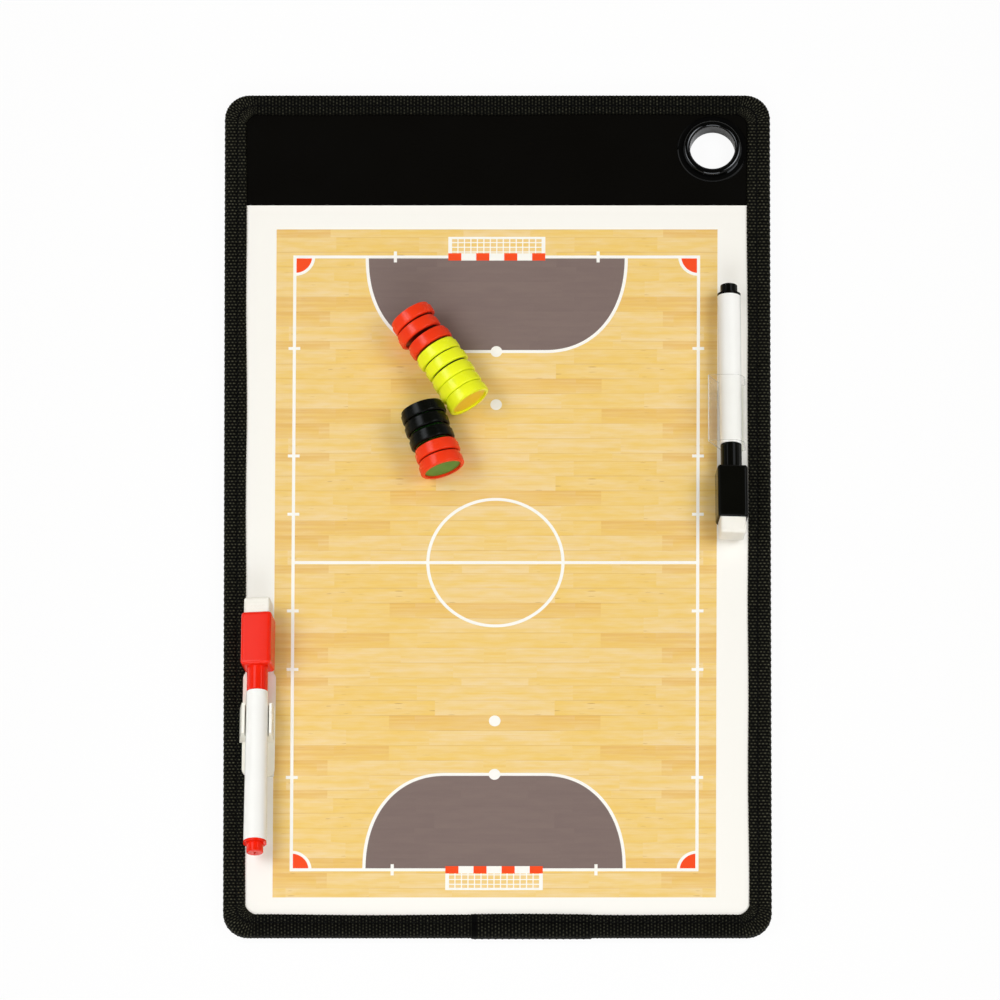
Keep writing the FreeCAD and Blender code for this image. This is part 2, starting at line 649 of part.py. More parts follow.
def puck(name, across, along, turn):
    """Player puck on its edge: a stepped cup, its label side first, and a magnet in its back."""
    front = "puck_thickness / 2"
    back = "-puck_thickness / 2"
    rim = "puck_radius - back_inset"
    cup = body(f"{name}_shell")
    revolve(cup, [
        ("0", f"{back} + cup_depth"),
        ("cup_radius", f"{back} + cup_depth"),
        ("cup_radius", back),
        (rim, back),
        (rim, f"{back} + back_rim"),
        ("puck_radius", f"{back} + back_rim"),
        ("puck_radius", front),
        ("puck_radius - label_rim", front),
        ("puck_radius - label_rim", f"{front} - label_depth"),
        ("0", f"{front} - label_depth"),
    ])
    reach = cup.Shape.BoundBox
    fillet(cup, "front", widest_round(cup, reach.ZMax), "front_round")
    fillet(cup, "back", widest_round(cup, reach.ZMin), "back_round")

    disc = body(f"{name}_magnet")
    revolve(disc, [
        ("0", f"{back} + cup_depth - disc_thickness"),
        ("cup_radius - disc_fit", f"{back} + cup_depth - disc_thickness"),
        ("cup_radius - disc_fit", f"{back} + cup_depth"),
        ("0", f"{back} + cup_depth"),
    ])
    for piece in (cup, disc):
        place(piece, across, along, "puck_axis", turn, tip="90")
    return [cup, disc]


def upper_row():
    """Eight pucks drawn together by their magnets, every label towards the lower right."""
    pieces = []
    gaps = 0.0
    for place_in_row, (name, gap, shift) in enumerate(UPPER_ROW):
        gaps += gap
        back = f"({place_in_row + 0.5} * puck_thickness + {gaps:.1f})"
        across = f"upper_end_across - {back} * cos(upper_angle) - {shift} * sin(upper_angle)"
        along = f"upper_end_along - {back} * sin(upper_angle) + {shift} * cos(upper_angle)"
        pieces += puck(name, across, along, "upper_angle")
    return pieces


def lower_row():
    """Five pucks in a second row, which lies with one corner against the upper row."""
    pieces = []
    gaps = 0.0
    for place_in_row, (name, gap, shift) in enumerate(LOWER_ROW):
        gaps += gap
        ahead = f"({place_in_row + 0.5} * puck_thickness + {gaps:.1f})"
        across = f"lower_start_across + {ahead} * cos(lower_angle) - {shift} * sin(lower_angle)"
        along = f"lower_start_along + {ahead} * sin(lower_angle) + {shift} * cos(lower_angle)"
        pieces += puck(name, across, along, "lower_angle")
    return pieces


subparts = [
    sheet_layer("back_sheet", "tape_thickness", "back_thickness"),
    sheet_layer("core_board", "core_base", "core_thickness"),
    sheet_layer("steel_sheet", "steel_base", "steel_thickness"),
    sheet_layer("printed_face", "face_base", "face_thickness"),
    edge_binding(),
    *eyelet(),
    *pen_clip(),
    *pen_loop(),
    *marker("red", "red_rear", "red_along", "red_axis", "-red_turn", "red_roll"),
    *marker("black", "black_rear", "black_along", "black_axis", "180 + black_turn", "black_roll"),
    *upper_row(),
    *lower_row(),
]
doc.recompute()

for item in doc.Objects:
    if {"Invalid", "Error"} & set(item.State):
        raise RuntimeError(f"{item.Label} failed: {item.State}")
for piece in subparts:
    if piece.Shape.isNull() or not piece.Shape.isValid() or len(piece.Shape.Solids) != 1:
        raise RuntimeError(f"{piece.Label} is not one valid solid")

os.makedirs("parts", exist_ok=True)
for piece in subparts:
    piece.Shape.exportStep(f"parts/{piece.Label}.step")
print(f"{len(subparts)} sub-parts written")
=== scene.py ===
# %% [markdown]
# # A magnetic tactics board
#
# The object is a flat coaching board: a printed court on a steel-backed sheet, a woven
# binding sewn round its edge, two markers in holders and thirteen magnetic player pucks.
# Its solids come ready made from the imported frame, in metres, and stay where they are.
# This lesson gives them their finishes and remakes the soft pieces: webbing, felt and foam.

# %% Load the frame
import math

import bmesh
import bpy
import numpy as np
from mathutils import Matrix, Vector


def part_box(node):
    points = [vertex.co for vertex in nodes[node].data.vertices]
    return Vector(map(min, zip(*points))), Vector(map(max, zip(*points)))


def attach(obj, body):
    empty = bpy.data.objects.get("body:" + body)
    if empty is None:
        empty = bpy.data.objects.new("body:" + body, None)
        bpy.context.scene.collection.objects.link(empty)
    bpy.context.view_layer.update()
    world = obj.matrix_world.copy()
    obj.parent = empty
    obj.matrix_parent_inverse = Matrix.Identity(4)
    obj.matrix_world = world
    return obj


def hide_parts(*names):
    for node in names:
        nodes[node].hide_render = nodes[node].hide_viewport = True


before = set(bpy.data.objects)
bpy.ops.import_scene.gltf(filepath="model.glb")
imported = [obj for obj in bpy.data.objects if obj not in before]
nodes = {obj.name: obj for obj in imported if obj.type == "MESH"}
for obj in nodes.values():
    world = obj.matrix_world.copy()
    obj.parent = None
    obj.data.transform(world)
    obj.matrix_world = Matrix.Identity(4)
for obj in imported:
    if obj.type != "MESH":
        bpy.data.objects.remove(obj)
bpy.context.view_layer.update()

# %% [markdown]
# ## Units and a mesh maker
#
# The drawing of this board is in millimetres, so a small factor keeps the sizes readable.
# A mesh can come from Blender's operators or straight from lists of points and faces.
# Lists are chosen here, because every piece below is a formula for points on a surface.

# %% Millimetres and meshes
MM = 0.001


def piece(name, points, faces, body, smooth=True):
    """A mesh object from points in millimetres, riding on one body of the frame."""
    mesh = bpy.data.meshes.new(name)
    mesh.from_pydata((np.asarray(points, float) * MM).tolist(), [], faces)
    mesh.validate()
    mesh.update()
    mesh.polygons.foreach_set("use_smooth", [smooth] * len(mesh.polygons))
    made = bpy.data.objects.new(name, mesh)
    bpy.context.scene.collection.objects.link(made)
    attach(made, body)
    return made


def faces_out(made):
    """Turn every face of a closed mesh outwards."""
    shape = bmesh.new()
    shape.from_mesh(made.data)
    bmesh.ops.recalc_face_normals(shape, faces=shape.faces)
    shape.to_mesh(made.data)
    shape.free()


# %% [markdown]
# ## The camera
#
# The photograph looks down on the board from its lower end, about twenty degrees off
# square, and its lines stay parallel: it was taken from far off or straightened later.
# A long lens far away gives the same picture. The aim is the point of the board that
# lies in the middle of the frame, so the lens needs no shift.

# %% Camera
PHOTO_WIDTH = 457.9
LEAN = math.radians(20.5)
DISTANCE = 20.0
AIM = Vector((1.37, 9.2, 0.0)) * MM

lens = bpy.data.cameras.new("camera")
lens.sensor_width = 36.0
lens.lens = lens.sensor_width * DISTANCE / (PHOTO_WIDTH * MM)
lens.clip_start, lens.clip_end = 1.0, 200.0
camera = bpy.data.objects.new("camera", lens)
backwards = Vector((0.0, -math.sin(LEAN), math.cos(LEAN)))
camera.location = AIM + DISTANCE * backwards
camera.rotation_mode = "QUATERNION"
camera.rotation_quaternion = (-backwards).to_track_quat("-Z", "Y")
bpy.context.scene.collection.objects.link(camera)
bpy.context.scene.camera = camera
print(f"lens {lens.lens:.0f} mm at {DISTANCE} m")

# %% [markdown]
# ## Sums that become nodes
#
# A finish is a tree of nodes, and a tree is hard to read as a list of links. The class
# Wire holds one output socket, and its operators add Math nodes, so that a stripe can be
# written as `abs(x - 93) < 0.7`. Masks are numbers of 0 and 1: `&` multiplies them,
# `|` takes the larger and `~` turns one over. Any other node comes from `add`.


# %% Wires and finishes
class Wire:
    """One output socket of a finish, on which ordinary sums add Math nodes."""

    def __init__(self, finish, socket):
        self.finish = finish
        self.socket = socket

    def sum(self, operation, *terms):
        return self.finish.add("Math", {"operation": operation}, dict(enumerate(terms)))

    def __add__(self, other):
        return self.sum("ADD", self, other)

    def __sub__(self, other):
        return self.sum("SUBTRACT", self, other)

    def __rsub__(self, other):
        return self.sum("SUBTRACT", other, self)

    def __mul__(self, other):
        return self.sum("MULTIPLY", self, other)

    def __truediv__(self, other):
        return self.sum("DIVIDE", self, other)

    def __pow__(self, power):
        return self.sum("POWER", self, power)

    def __lt__(self, other):
        return self.sum("LESS_THAN", self, other)

    def __gt__(self, other):
        return self.sum("GREATER_THAN", self, other)

    def __or__(self, other):
        return self.sum("MAXIMUM", self, other)

    def __invert__(self):
        return 1 - self

    def __abs__(self):
        return self.sum("ABSOLUTE", self)

    def __floor__(self):
        return self.sum("FLOOR", self)

    def cosine(self):
        return self.sum("COSINE", self)

    __radd__ = __add__
    __rmul__ = __mul__
    __and__ = __mul__


class Finish:
    """A node tree in the making; `add` puts in a node, sets it and links it."""

    def __init__(self, tree):
        self.tree = tree

    def add(self, kind, settings, sockets, output=0):
        node = self.tree.nodes.new(f"ShaderNode{kind}")
        for name, value in settings.items():
            if name == "stops":
                ramp = node.color_ramp.elements
                while len(ramp) < len(value):
                    ramp.new(1.0)
                for stop, (place, colour) in zip(ramp, value):
                    stop.position, stop.color = place, colour
            else:
                setattr(node, name, value)
        self.join(node, sockets)
        return Wire(self, node.outputs[output])

    def join(self, node, sockets):
        for name, value in sockets.items():
            if isinstance(value, Wire):
                self.tree.links.new(value.socket, node.inputs[name])
            else:
                node.inputs[name].default_value = value

    def place(self):
        """Where a point is in the board's frame, in metres."""
        return self.add("TexCoord", {}, {}, "Object")

    def axes(self, vector):
        node = self.add("SeparateXYZ", {}, {0: vector}).socket.node
        return [Wire(self, node.outputs[axis]) for axis in "XYZ"]

    def stretched(self, vector, factors):
        return self.add("VectorMath", {"operation": "MULTIPLY"}, {0: vector, 1: factors})

    def noise(self, vector, scale, detail=2.0, roughness=0.5):
        sockets = {"Vector": vector, "Scale": scale, "Detail": detail, "Roughness": roughness}
        return self.add("TexNoise", {}, sockets)

    def blend(self, share, first, second):
        """A colour on the way from the first to the second."""
        return self.add("Mix", {"data_type": "RGBA"}, {0: share, 6: first, 7: second}, 2)

    def bump(self, height, depth, strength=1.0):
        """A normal from a height of 0 to 1, where 1 stands for a depth in millimetres."""
        sockets = {"Strength": strength, "Distance": depth * MM, "Height": height}
        return self.add("Bump", {}, sockets)


def srgb(red, green, blue):
    """A colour as a picture gives it, from 0 to 255, made linear for a shader."""
    shares = [value / 255 for value in (red, green, blue)]
    linear = [s / 12.92 if s <= 0.04045 else ((s + 0.055) / 1.055) ** 2.4 for s in shares]
    return (*linear, 1.0)


def new_finish(name, **plain):
    """A material with one Principled shader, whose even values are set on its sockets."""
    material = bpy.data.materials.new(name)
    material.use_nodes = True
    finish = Finish(material.node_tree)
    finish.material = material
    finish.shader = material.node_tree.nodes["Principled BSDF"]
    finish.join(finish.shader, {key.replace("_", " "): value for key, value in plain.items()})
    return finish


def wear(finish, *names):
    """Give a finish to solids of the frame or to new pieces."""
    for name in names:
        made = nodes.get(name) or bpy.data.objects[name]
        made.data.materials.clear()
        made.data.materials.append(finish.material)


print("finish kit ready")

# %% [markdown]
# ## Floor and light
#
# The board lies on a white table top between two near soft lamps, with a third one before
# it, in a dim warm room. The background could be lit until it burns out, but that would
# bleach the board too. Here the floor and the world show plain white to the camera and to
# clear plastic, while the light on the board comes from the lamps and a weak fill.

# %% Floor
FLOOR_HALF = 12.0
FLOOR_LEVEL = -0.0001
TABLE_PALE = (0.93, 0.93, 0.93, 1.0)
WHITE = (1.0, 1.0, 1.0, 1.0)
WHITE_SHARE = 0.93

corners = [(x * FLOOR_HALF, y * FLOOR_HALF, FLOOR_LEVEL)
           for x, y in ((-1, -1), (1, -1), (1, 1), (-1, 1))]
ground = bpy.data.meshes.new("floor")
ground.from_pydata(corners, [], [(0, 1, 2, 3)])
floor = bpy.data.objects.new("floor", ground)
bpy.context.scene.collection.objects.link(floor)

table = new_finish("table_top", Roughness=0.9, Base_Color=TABLE_PALE)
path = table.add("LightPath", {}, {}).socket.node
clear_ray = Wire(table, path.outputs["Is Transmission Ray"])
seen = Wire(table, path.outputs["Is Camera Ray"]) | clear_ray
white = table.add("Emission", {}, {"Color": WHITE, "Strength": 1.0})
matt = Wire(table, table.shader.outputs[0])
lit = table.add("MixShader", {}, {0: seen * WHITE_SHARE, 1: matt, 2: white})
underside = table.add("NewGeometry", {}, {}, "Backfacing")
clear = table.add("BsdfTransparent", {}, {})
sided = table.add("MixShader", {}, {0: underside, 1: lit, 2: clear})
table.join(table.tree.nodes["Material Output"], {"Surface": sided})
ground.materials.append(table.material)
print("floor laid")

# %% Lamps and world
FILL = (0.300, 0.255, 0.190, 1.0)
LAMP_TINT = (0.95, 1.0, 1.06)
BEAM = math.radians(55)
CEILING = (0.02, 0.02, 0.02, 1.0)
SKY_TOP, SKY_FOOT, SKY_GLOW = 0.55, 0.2, 0.4
LAMPS = {
    "left_softbox": ((-0.40, 0.0, 0.45), (-0.125, 0.0, 0.0), (0.9, 0.28), 0.515, BEAM),
    "right_softbox": ((0.40, 0.0, 0.45), (0.125, 0.0, 0.0), (0.9, 0.28), 0.495, BEAM),
    "front_softbox": ((0.0, -2.2, 1.5), (0.0, 0.0, 0.0), (2.0, 1.0), 22.0, math.pi),
}
for name, (spot, aim, size, watts, beam) in LAMPS.items():
    lamp = bpy.data.lights.new(name, "AREA")
    lamp.shape = "RECTANGLE"
    lamp.size, lamp.size_y = size
    lamp.energy = watts
    lamp.color = LAMP_TINT
    lamp.spread = beam
    made = bpy.data.objects.new(name, lamp)
    made.location = spot
    made.rotation_mode = "QUATERNION"
    made.rotation_quaternion = (Vector(aim) - Vector(spot)).to_track_quat("-Z", "Y")
    bpy.context.scene.collection.objects.link(made)

world = bpy.data.worlds.new("studio")
bpy.context.scene.world = world
world.use_nodes = True
room = Finish(world.node_tree)
path = room.add("LightPath", {}, {}).socket.node
camera_ray = Wire(room, path.outputs["Is Camera Ray"])
glossy_ray = Wire(room, path.outputs["Is Glossy Ray"])
mirrored = glossy_ray | Wire(room, path.outputs["Is Transmission Ray"])
height = room.axes(room.add("TexCoord", {}, {}, "Generated"))[2]
low = room.add("MapRange", {"interpolation_type": "SMOOTHSTEP"}, {
    "Value": height, "From Min": SKY_TOP, "From Max": SKY_FOOT, "To Min": 0.0, "To Max": SKY_GLOW,
})
shown = camera_ray | (mirrored & low)
ceiling = room.blend(mirrored, FILL, CEILING)
sky = room.blend(shown, ceiling, WHITE)
room.join(world.node_tree.nodes["Background"], {"Color": sky, "Strength": 1.0})
bpy.context.scene.view_settings.view_transform = "Standard"
print(f"{len(LAMPS)} lamps, fill {FILL}")

# %% [markdown]
# ## The court print
#
# The face is a dry-wipe film over a printed sheet: a black header, a white border and a
# court drawn on maple boards. An image would be the quick way, but a drawn court stays
# sharp at any size, and every line of it is a short sum. The court is the same on both
# sides of its middle, so all its lines use the distance from the two centre lines. The
# sheet was laid on a quarter of a degree askew, so the court leans a little.

# %% Print coordinates
COURT_ACROSS = -0.95
COURT_ALONG = -23.45
SKEW = 0.0041
SKEW_FROM = -78.0
HEADER_FOOT = 151.4
WOOD = (-102.0, 100.3, -186.45, 139.65)
LINE = 0.72

court = new_finish("court_print", Specular_IOR_Level=0.25)
here = court.place()
metres = court.axes(here)
along = metres[1] * 1000
across = metres[0] * 1000 - (along - SKEW_FROM) * SKEW
x = abs(across - COURT_ACROSS)
y = abs(along - COURT_ALONG)


def band(value, middle, half):
    """Mask of the stretch within a half width of a line."""
    return abs(value - middle) < half


def inside(value, low, high):
    return (value > low) & (value < high)


print("court centre", COURT_ACROSS, COURT_ALONG)

# %% [markdown]
# ### Maple boards
#
# The printed floor is a picture of maple strips that repeats down the court and is
# mirrored about its middle, so two coordinates that fold the same way draw all of it.
# White Noise gives every strip its own offset and every board its own tone. Stretched
# noises then draw the golden flames, the fine grain, the brown streaks and short flecks.

# %% Boards
REPEAT = 54.8
REPEAT_TOP = -83.45
STRIP = 7.29
BOARD_LENGTH = 38.0
DARK_END = 48.3
EDGE_BOARDS = 76.3
CREAM = srgb(246, 219, 164)
GOLD = srgb(244, 207, 115)
BROWN = srgb(233, 184, 102)
SEAM_BROWN = srgb(206, 150, 84)
FLECK = srgb(178, 116, 58)

repeats = (REPEAT_TOP - along) / REPEAT
down = (repeats - math.floor(repeats)) * REPEAT
strips = down / STRIP
strip = math.floor(strips)
offset = court.add("TexWhiteNoise", {"noise_dimensions": "1D"}, {"W": strip + 0.35})
runs = x / BOARD_LENGTH + offset
run = math.floor(runs)
board = strip * 17.3 + run * 3.7 + 0.2
tone = court.add("TexWhiteNoise", {"noise_dimensions": "1D"}, {"W": board})


def grain_noise(length, height, seed, detail=2.0, each=tone):
    """Noise drawn out along the boards, different in each one; sizes in millimetres."""
    spot = court.add("CombineXYZ", {}, {0: x / length, 1: down / height, 2: each * seed})
    return court.noise(spot, 1.0, detail, 0.6)


def ramp(value, low, high):
    """A number that climbs from 0 to 1 between two levels."""
    return court.add("MapRange", {}, {"Value": value, "From Min": low, "From Max": high})


flames = grain_noise(17.0, 3.2, 31.0)
grain = grain_noise(34.0, 0.8, 17.0, 4.0)
streaks = ramp(grain_noise(30.0, 0.5, 23.0), 0.55, 0.8)
flecks = ramp(grain_noise(8.0, 0.5, 41.0, 0.0), 0.83, 0.87)
gold = ramp(tone * 0.26 + flames * 1.1 + grain * 0.5, 0.62, 1.2)
dark_board = (band(strip, 2, 0.5) & (x < DARK_END)) | (band(strip, 4, 0.5) & (x > DARK_END))
dark_board = dark_board | ((band(strip, 5, 0.5) | band(strip, 7, 0.5)) & (x > EDGE_BOARDS))
dark_grain = ramp(grain_noise(40.0, 1.1, 5.1, 4.0, strip), 0.25, 0.7)
upper = 1.05 - (strips - strip) * 0.6
dark = (dark_board * dark_grain * upper) | (streaks * 0.4)
strip_edge = abs(strips - strip - 0.5) > 0.472
seam_strength = ramp(grain_noise(45.0, 30.0, 3.0), 0.35, 0.75)
speckle = court.noise(here, 2600.0, 1.0)
maple = court.blend(gold, CREAM, GOLD)
maple = court.blend(dark, maple, BROWN)
maple = court.blend(flecks * 0.65, maple, FLECK)
maple = court.blend(strip_edge * seam_strength * 0.55, maple, SEAM_BROWN)
maple = court.blend(speckle * 0.16, maple, BROWN)
print("strips of", STRIP, "mm repeat every", REPEAT, "mm")

# %% [markdown]
# ### Lines, areas and goals
#
# The sidelines, the half line and the circle are plain distances. A goal area is a flat
# front between two rounded ends: a power a little over two gives its full shoulders. The
# net is two sets of thin stripes, and the crossbar is a row of red and white blocks.

# %% Lines
SIDE = 92.57
GOAL = 149.6
CIRCLE = 30.9
POST = 22.0
AREA_HALF = 59.4
AREA_DEPTH = 46.4
SHOULDER = 2.2
SECOND_SPOT = 72.4
SPOT = 2.65
TICKS = (23.6, 52.1, 104.7)
TICK_HALF = 2.7
GOAL_TICK = 46.5
CORNER_RED = 7.85
CORNER_ARC = 8.55

centre_way = (x * x + y * y) ** 0.5
depth = GOAL - y
playing = (x < SIDE + LINE) & (y < GOAL + LINE)
lines = playing & (band(x, SIDE, LINE) | band(y, GOAL, LINE) | (y < LINE))
lines = lines | band(centre_way, CIRCLE, LINE)


def area(grow):
    """Mask of the goal area, grown or shrunk by half a line."""
    beside = ((x - POST) | 0.0) / (AREA_HALF - POST + grow)
    before = (depth | 0.0) / (AREA_DEPTH + grow)
    return (beside ** SHOULDER + before ** SHOULDER < 1) & (depth > 0)


area_inside = area(-LINE)
lines = lines | (area(LINE) & ~area_inside)
for spot in (AREA_DEPTH, SECOND_SPOT):
    lines = lines | ((x * x + (depth - spot) * (depth - spot)) < SPOT ** 2)
for tick in TICKS:
    lines = lines | (band(x, SIDE, TICK_HALF) & band(y, tick, LINE))
lines = lines | (band(x, GOAL_TICK, LINE) & band(y, GOAL, TICK_HALF))
corner_way = ((x - SIDE) * (x - SIDE) + (y - GOAL) * (y - GOAL)) ** 0.5
in_court = (x < SIDE) & (y < GOAL)
quarter = in_court & (corner_way < CORNER_RED)
red_ink = quarter & (x < SIDE - LINE) & (y < GOAL - LINE)
lines = lines | quarter | (in_court & band(corner_way, CORNER_ARC, LINE))
print("lines", 2 * LINE, "mm wide on a court of", 2 * SIDE, "by", 2 * GOAL, "mm")

# %% Goals
FRAME_HALF = 22.25
FRAME_DEPTH = 9.85
BAR_HALF = 1.78
CELL = (2.97, 2.3)
FIRST_THREAD = 2.44
RIM = (1.25, 1.1)
THREAD = 0.24
BLOCK = 12.83
RED_HALF = 3.0

behind = y - GOAL
in_goal = (x < FRAME_HALF) & (behind > 0) & (behind < FRAME_DEPTH)
rim = (x > FRAME_HALF - RIM[0]) | (behind > FRAME_DEPTH - RIM[1])


def net(value, cell):
    """Mask of the threads of a net, one in every cell."""
    cells = value / cell
    return abs(cells - math.floor(cells) - 0.5) > 0.5 - THREAD / cell


threads = net(x, CELL[0]) | net(behind - FIRST_THREAD, CELL[1])
lines = lines | (in_goal & (rim | threads))
bar = (x < FRAME_HALF) & (abs(behind) < BAR_HALF)
block = x / BLOCK
red_block = abs(block - math.floor(block) - 0.5) < RED_HALF / BLOCK
lines = lines | bar
red_ink = red_ink | (bar & red_block)
print("goals", 2 * FRAME_HALF, "mm wide")

# %% Colours of the print
PAPER = srgb(253, 251, 245)
RED_INK = srgb(251, 82, 40)
AREA_GREY = srgb(135, 118, 112)
AREA_SHADE = srgb(119, 103, 100)
HEADER_INK = srgb(9, 8, 6)

grey_grain = (strip_edge * seam_strength * 0.4) | (gold * 0.35 + speckle * 0.3)
grey = court.blend(grey_grain, AREA_GREY, AREA_SHADE)
ground_ink = court.blend(area_inside, maple, grey)
drawn = court.blend(lines, ground_ink, PAPER)
drawn = court.blend(red_ink, drawn, RED_INK)
wooden = inside(across, WOOD[0], WOOD[1]) & inside(along, WOOD[2], WOOD[3])
sheet_ink = court.blend(wooden, PAPER, drawn)
header = along > HEADER_FOOT
sheet_ink = court.blend(header, sheet_ink, HEADER_INK)
smears = court.noise(here, 35.0, 3.0)
ripple = court.noise(here, 260.0, 1.0)
court.join(court.shader, {
    "Base Color": sheet_ink,
    "Roughness": smears * 0.12 + 0.14,
    "Normal": court.bump(ripple, 0.01, 0.25),
})
wear(court, "printed_face")
print(len(court.tree.nodes), "nodes in the print")

# %% [markdown]
# ## The woven binding
#
# The edge is bound in webbing: a woven tape folded over the board and sewn through. The
# weave could be a bump texture, but its edges show against the white border, so the tape
# is a grid of points: stations run round the board, and at each one a section runs from
# the inner edge on the face, over the fold, to the edge on the back. Tape pleats at a
# corner, so there the outer path is long and the inner one is a short rounded cut.

# %% Binding paths
REACH = {"bottom": 205.0, "right": 125.3, "top": 205.7, "left": 124.9}
LIPS = {"bottom": 10.0, "right": 10.4, "top": 9.7, "left": 10.0}
ROUND = 11.5
CUT = 4.2
CUT_FULLNESS = 0.45
ROW = 1.545
STATIONS_PER_ROW = 3
LAP_START = -11.5
AROUND = (("right", "bottom", (1, -1)), ("right", "top", (1, 1)),
          ("left", "top", (-1, 1)), ("left", "bottom", (-1, -1)))
WAYS = np.array(((1, 0), (0, 1), (-1, 0), (0, -1)), float)


def corner_run(turn):
    """Outer and inner points round one corner, from the lower right one on."""
    side, end, signs = AROUND[turn]
    tip = np.array((REACH[side], REACH[end])) * signs
    inset = np.array((LIPS[side], LIPS[end]))
    root = tip - inset * signs
    came, goes = WAYS[turn], WAYS[(turn + 1) % len(WAYS)]
    lead = abs(came @ inset) + CUT - ROUND
    tail = abs(goes @ inset) + CUT - ROUND
    arc = ROUND * math.pi / 2
    count = STATIONS_PER_ROW * round((lead + arc + tail) / ROW)
    first, last = root - came * CUT, root + goes * CUT
    pull = root * CUT_FULLNESS + (first + last) / 2 * (1 - CUT_FULLNESS)
    hub = tip - came * ROUND + goes * ROUND
    outer, inner = [], []
    for share in np.arange(count) / count:
        way = share * (lead + arc + tail)
        angle = min(max((way - lead) / ROUND, 0.0), math.pi / 2)
        point = hub + ROUND * (math.sin(angle) * came - math.cos(angle) * goes)
        point = point + came * min(way - lead, 0.0) + goes * max(way - lead - arc, 0.0)
        outer.append(point)
        rest = 1 - share
        inner.append(rest ** 2 * first + 2 * share * rest * pull + share ** 2 * last)
    ends = (tip - came * (lead + ROUND), first, tip + goes * (tail + ROUND), last)
    return outer, inner, ends


def binding_stations():
    """Outer and inner points at each station, from the lapped end round to it again."""
    lap = np.array((LAP_START, -REACH["bottom"]))
    lap_inside = lap + (0.0, LIPS["bottom"])
    begin = (lap, lap_inside)
    outer, inner = [], []
    for turn in range(5):
        corner = corner_run(turn) if turn < 4 else ([], [], (lap, lap_inside, lap, lap_inside))
        goal = corner[2][:2]
        count = STATIONS_PER_ROW * round(np.linalg.norm(goal[0] - begin[0]) / ROW)
        shares = np.arange(count)[:, None] / count
        outer += list(begin[0] + (goal[0] - begin[0]) * shares) + corner[0]
        inner += list(begin[1] + (goal[1] - begin[1]) * shares) + corner[1]
        begin = corner[2][2:]
    return np.array(outer), np.array(inner)


outer, inner = binding_stations()
print(len(outer), "stations round the binding")

# %% [markdown]
# ### Section, weave and seam
#
# The tape's ribs run across it, and every rib is a row of knots that stand between the
# knots of its neighbours. A product of cosines makes both: one wave along the tape for
# the ribs, and a second that changes sign from rib to rib for the knots. The seam pulls
# the tape in, and its lapped end lies on top of its beginning for a thumb's length.

# %% Tape section
FACE = 5.62
LIP_TOP = 6.7
FOLD = 2.0
BACK = 1.08
HOLLOW = 1.15
EDGE_ROUND = 0.3
EDGE_SLOPE = 0.05
EDGE_HEIGHT = 0.7
ACROSS_POINTS = 19
SWAYS = ((0.16, 0.069, 0.0), (0.12, 0.027, 1.3))
SCALLOP = 0.1

inward = inner - outer
lip = np.linalg.norm(inward, axis=1)
inward = inward / lip[:, None]
along_tape = np.arange(len(outer)) * ROW / STATIONS_PER_ROW
sway = sum(size * np.sin(along_tape * pace + start) for size, pace, start in SWAYS)
lip = lip + sway + SCALLOP * np.cos(2 * np.pi * along_tape / ROW)
flat = lip - EDGE_ROUND - FOLD
rings = []


def ring(inset, level, side, rise, knots):
    """One line of points round the board: its inset, height, outward slope and weave."""
    rings.append((np.broadcast_to(inset, lip.shape), level, side, rise, knots))


def fold_ring(angle, level):
    """A ring on the fold, at an angle up from its outermost line."""
    side, rise = math.cos(angle), math.sin(angle)
    ring(FOLD - FOLD * side, level + FOLD * rise, side, rise, 1.0)


ring(lip, FACE, -1.0, 0.0, 0.0)
ring(lip - EDGE_SLOPE, FACE + EDGE_HEIGHT, -1.0, 0.0, 0.4)
for share in np.linspace(1, 0, ACROSS_POINTS):
    ring(FOLD + flat * share, LIP_TOP, 0.0, 1.0, 1.0)
for angle in np.radians((72, 54, 36, 18, 0)):
    fold_ring(angle, LIP_TOP - FOLD)
for level in (LIP_TOP / 2, FOLD):
    ring(0.0, level, 1.0, 0.0, 1.0)
for angle in np.radians((-30, -60, -90)):
    fold_ring(angle, FOLD)
for share in (0.33, 0.66, 1.0):
    ring(FOLD + flat * share, 0.0, 0.0, -1.0, 1.0)
ring(lip, BACK, -1.0, 0.0, 0.0)
ring(HOLLOW, BACK, 0.0, 0.0, 0.0)
ring(HOLLOW, FACE, 0.0, 0.0, 0.0)
print(len(rings), "rings of points across the tape")

# %% Weave, seam and lap
KNOT = 1.72
RELIEF = 0.3
PROUD = 0.2
SEAM = 5.9
SEAM_DEPTH = 0.3
SEAM_WIDTH = 0.6
LAP_LENGTH = 55.0
LAP_END = 1.2
LAP_RISE = 0.45

ribs = 0.5 + 0.5 * np.cos(2 * np.pi * along_tape / ROW)
every_other = np.cos(np.pi * along_tape / ROW)
lap_rise = LAP_RISE * np.clip((LAP_LENGTH - along_tape) / LAP_END, 0, 1)
points, across_tape = [], []
travel = 0.0
for inset, level, side, rise, knots in rings:
    if points:
        travel += math.hypot(inset.mean() - before[0], level - before[1])
    before = (inset.mean(), level)
    stagger = 0.5 + 0.5 * every_other * math.cos(2 * np.pi * travel / KNOT)
    push = knots * (lap_rise + RELIEF * (ribs * stagger - 1) + PROUD)
    if rise < 0:
        push = push - knots * (lap_rise + PROUD) * -rise
    if not side:
        push = push - knots * SEAM_DEPTH * np.exp(-(((inset - SEAM) / SEAM_WIDTH) ** 2))
    spread = outer + inward * (inset - side * push)[:, None]
    points.append(np.column_stack((spread, level + rise * push)))
    across_tape.append(travel)
print(f"tape {travel:.1f} mm round its section")

